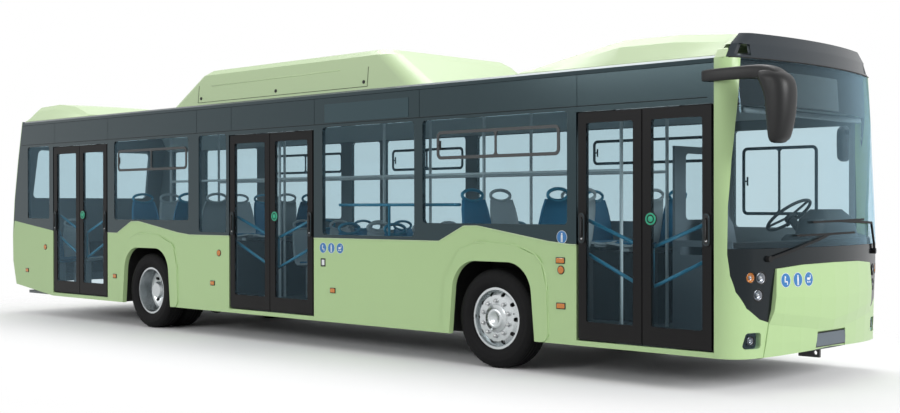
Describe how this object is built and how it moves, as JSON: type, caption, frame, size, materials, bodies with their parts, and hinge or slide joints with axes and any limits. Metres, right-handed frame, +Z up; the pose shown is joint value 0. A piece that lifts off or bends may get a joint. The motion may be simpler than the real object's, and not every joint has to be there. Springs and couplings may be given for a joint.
{
  "type": "city bus",
  "caption": "Low-floor city bus with inward-gliding double doors, steered front wheels, twin rear wheels and a gas cylinder fairing on its roof.",
  "frame": {"origin": "on the road, at the middle of the bounding box in plan, mirrors included", "axes": "+X towards the front, +Y towards the bus's left, +Z up"},
  "size_m": [12.7653, 2.9145, 3.274],
  "materials": {
    "black_rubber": "matte",
    "cast_metal": "matte",
    "dark_paint": "gloss",
    "dark_plastic": "matte",
    "dark_steel": "matte",
    "door_frame": "satin",
    "floor_cover": "matte",
    "green_paint": "satin",
    "grey_paint": "satin",
    "lamp_amber": "gloss",
    "lamp_lens": "clear",
    "lamp_red": "gloss",
    "seat_plastic": "matte",
    "steel": "brushed",
    "tinted_glass": "clear",
    "tyre": "matte",
    "wheel_steel": "satin"
  },
  "bodies": {
    "bus_body": {"chassis_rails": "dark_steel", "cove_panels": "dark_paint", "dashboard": "dark_plastic", "destination_display": "dark_plastic", "driver_platform": "floor_cover", "driver_seat": "seat_plastic", "engine": "cast_metal", "floor": "floor_cover", "front_axle": "dark_steel", "front_corner_panels": "green_paint", "front_mask": "dark_paint", "front_panel": "green_paint", "handrails": "steel", "head_lamps": "lamp_lens", "hopper_frames": "black_rubber", "mirrors": "dark_plastic", "rear_axle": "dark_steel", "rear_window": "tinted_glass", "roof": "grey_paint", "roof_fairings": "green_paint", "seats": "seat_plastic", "side_glass": "tinted_glass", "side_markers": "lamp_amber", "side_panels": "green_paint", "steering_wheel": "dark_plastic", "tail_lamps": "lamp_red", "tail_panel": "green_paint", "visor": "dark_paint", "wheel_housings": "floor_cover", "window_frames": "dark_paint", "windscreen": "tinted_glass", "wipers": "dark_plastic"},
    "left_steering_knuckle": {"left_knuckle": "dark_steel"},
    "front_left_wheel": {"front_left_tyre": "tyre", "front_left_rim": "wheel_steel"},
    "rear_left_wheel": {"rear_left_twin_tyres": "tyre", "rear_left_rim": "wheel_steel"},
    "right_steering_knuckle": {"right_knuckle": "dark_steel"},
    "front_right_wheel": {"front_right_tyre": "tyre", "front_right_rim": "wheel_steel"},
    "rear_right_wheel": {"rear_right_twin_tyres": "tyre", "rear_right_rim": "wheel_steel"},
    "front_door_rear_leaf_post": {"front_door_rear_leaf_arm": "steel"},
    "front_door_rear_leaf": {"front_door_rear_leaf": "door_frame", "front_door_rear_leaf_glass": "tinted_glass"},
    "front_door_front_leaf_post": {"front_door_front_leaf_arm": "steel"},
    "front_door_front_leaf": {"front_door_front_leaf": "door_frame", "front_door_front_leaf_glass": "tinted_glass"},
    "middle_door_rear_leaf_post": {"middle_door_rear_leaf_arm": "steel"},
    "middle_door_rear_leaf": {"middle_door_rear_leaf": "door_frame", "middle_door_rear_leaf_glass": "tinted_glass"},
    "middle_door_front_leaf_post": {"middle_door_front_leaf_arm": "steel"},
    "middle_door_front_leaf": {"middle_door_front_leaf": "door_frame", "middle_door_front_leaf_glass": "tinted_glass"},
    "rear_door_rear_leaf_post": {"rear_door_rear_leaf_arm": "steel"},
    "rear_door_rear_leaf": {"rear_door_rear_leaf": "door_frame", "rear_door_rear_leaf_glass": "tinted_glass"},
    "rear_door_front_leaf_post": {"rear_door_front_leaf_arm": "steel"},
    "rear_door_front_leaf": {"rear_door_front_leaf": "door_frame", "rear_door_front_leaf_glass": "tinted_glass"}
  },
  "joints": [
    {"name": "left_steering", "type": "hinge", "parent": "bus_body", "child": "left_steering_knuckle", "pos_m": [3.21, 0.86, 0.478], "axis": [0, 0, 1], "range_deg": [-40, 40]},
    {"name": "front_left_wheel_spin", "type": "hinge", "parent": "left_steering_knuckle", "child": "front_left_wheel", "pos_m": [3.21, 1.097, 0.478], "axis": [0, 1, 0], "continuous": true},
    {"name": "rear_left_wheel_spin", "type": "hinge", "parent": "bus_body", "child": "rear_left_wheel", "pos_m": [-2.74, 0.939, 0.478], "axis": [0, 1, 0], "continuous": true},
    {"name": "right_steering", "type": "hinge", "parent": "bus_body", "child": "right_steering_knuckle", "pos_m": [3.21, -0.86, 0.478], "axis": [0, 0, 1], "range_deg": [-40, 40]},
    {"name": "front_right_wheel_spin", "type": "hinge", "parent": "right_steering_knuckle", "child": "front_right_wheel", "pos_m": [3.21, -1.097, 0.478], "axis": [0, 1, 0], "continuous": true},
    {"name": "rear_right_wheel_spin", "type": "hinge", "parent": "bus_body", "child": "rear_right_wheel", "pos_m": [-2.74, -0.939, 0.478], "axis": [0, 1, 0], "continuous": true},
    {"name": "front_door_rear_leaf_swing", "type": "hinge", "parent": "bus_body", "child": "front_door_rear_leaf_post", "pos_m": [4.22989, -1.2, 1.4], "axis": [0, 0, 1], "range_deg": [0, 90]},
    {"name": "front_door_rear_leaf_turn", "type": "hinge", "parent": "front_door_rear_leaf_post", "child": "front_door_rear_leaf", "pos_m": [4.60675, -1.2, 1.4], "axis": [0, 0, -1], "range_deg": [0, 180]},
    {"name": "front_door_front_leaf_swing", "type": "hinge", "parent": "bus_body", "child": "front_door_front_leaf_post", "pos_m": [5.68311, -1.2, 1.4], "axis": [0, 0, -1], "range_deg": [0, 90]},
    {"name": "front_door_front_leaf_turn", "type": "hinge", "parent": "front_door_front_leaf_post", "child": "front_door_front_leaf", "pos_m": [5.30625, -1.2, 1.4], "axis": [0, 0, 1], "range_deg": [0, 180]},
    {"name": "middle_door_rear_leaf_swing", "type": "hinge", "parent": "bus_body", "child": "middle_door_rear_leaf_post", "pos_m": [-0.98444, -1.2, 1.4], "axis": [0, 0, 1], "range_deg": [0, 90]},
    {"name": "middle_door_rear_leaf_turn", "type": "hinge", "parent": "middle_door_rear_leaf_post", "child": "middle_door_rear_leaf", "pos_m": [-0.57675, -1.2, 1.4], "axis": [0, 0, -1], "range_deg": [0, 180]},
    {"name": "middle_door_front_leaf_swing", "type": "hinge", "parent": "bus_body", "child": "middle_door_front_leaf_post", "pos_m": [0.59344, -1.2, 1.4], "axis": [0, 0, -1], "range_deg": [0, 90]},
    {"name": "middle_door_front_leaf_turn", "type": "hinge", "parent": "middle_door_front_leaf_post", "child": "middle_door_front_leaf", "pos_m": [0.18575, -1.2, 1.4], "axis": [0, 0, 1], "range_deg": [0, 180]},
    {"name": "rear_door_rear_leaf_swing", "type": "hinge", "parent": "bus_body", "child": "rear_door_rear_leaf_post", "pos_m": [-5.13303, -1.2, 1.4], "axis": [0, 0, 1], "range_deg": [0, 90]},
    {"name": "rear_door_rear_leaf_turn", "type": "hinge", "parent": "rear_door_rear_leaf_post", "child": "rear_door_rear_leaf", "pos_m": [-4.75275, -1.2, 1.4], "axis": [0, 0, -1], "range_deg": [0, 180]},
    {"name": "rear_door_front_leaf_swing", "type": "hinge", "parent": "bus_body", "child": "rear_door_front_leaf_post", "pos_m": [-3.66597, -1.2, 1.4], "axis": [0, 0, -1], "range_deg": [0, 90]},
    {"name": "rear_door_front_leaf_turn", "type": "hinge", "parent": "rear_door_front_leaf_post", "child": "rear_door_front_leaf", "pos_m": [-4.04625, -1.2, 1.4], "axis": [0, 0, 1], "range_deg": [0, 180]}
  ],
  "couplings": [
    {"joint": "right_steering", "follows": "left_steering", "ratio": 1},
    {"joint": "front_door_rear_leaf_turn", "follows": "front_door_rear_leaf_swing", "ratio": 2},
    {"joint": "front_door_front_leaf_turn", "follows": "front_door_front_leaf_swing", "ratio": 2},
    {"joint": "middle_door_rear_leaf_turn", "follows": "middle_door_rear_leaf_swing", "ratio": 2},
    {"joint": "middle_door_front_leaf_turn", "follows": "middle_door_front_leaf_swing", "ratio": 2},
    {"joint": "rear_door_rear_leaf_turn", "follows": "rear_door_rear_leaf_swing", "ratio": 2},
    {"joint": "rear_door_front_leaf_turn", "follows": "rear_door_front_leaf_swing", "ratio": 2}
  ]
}
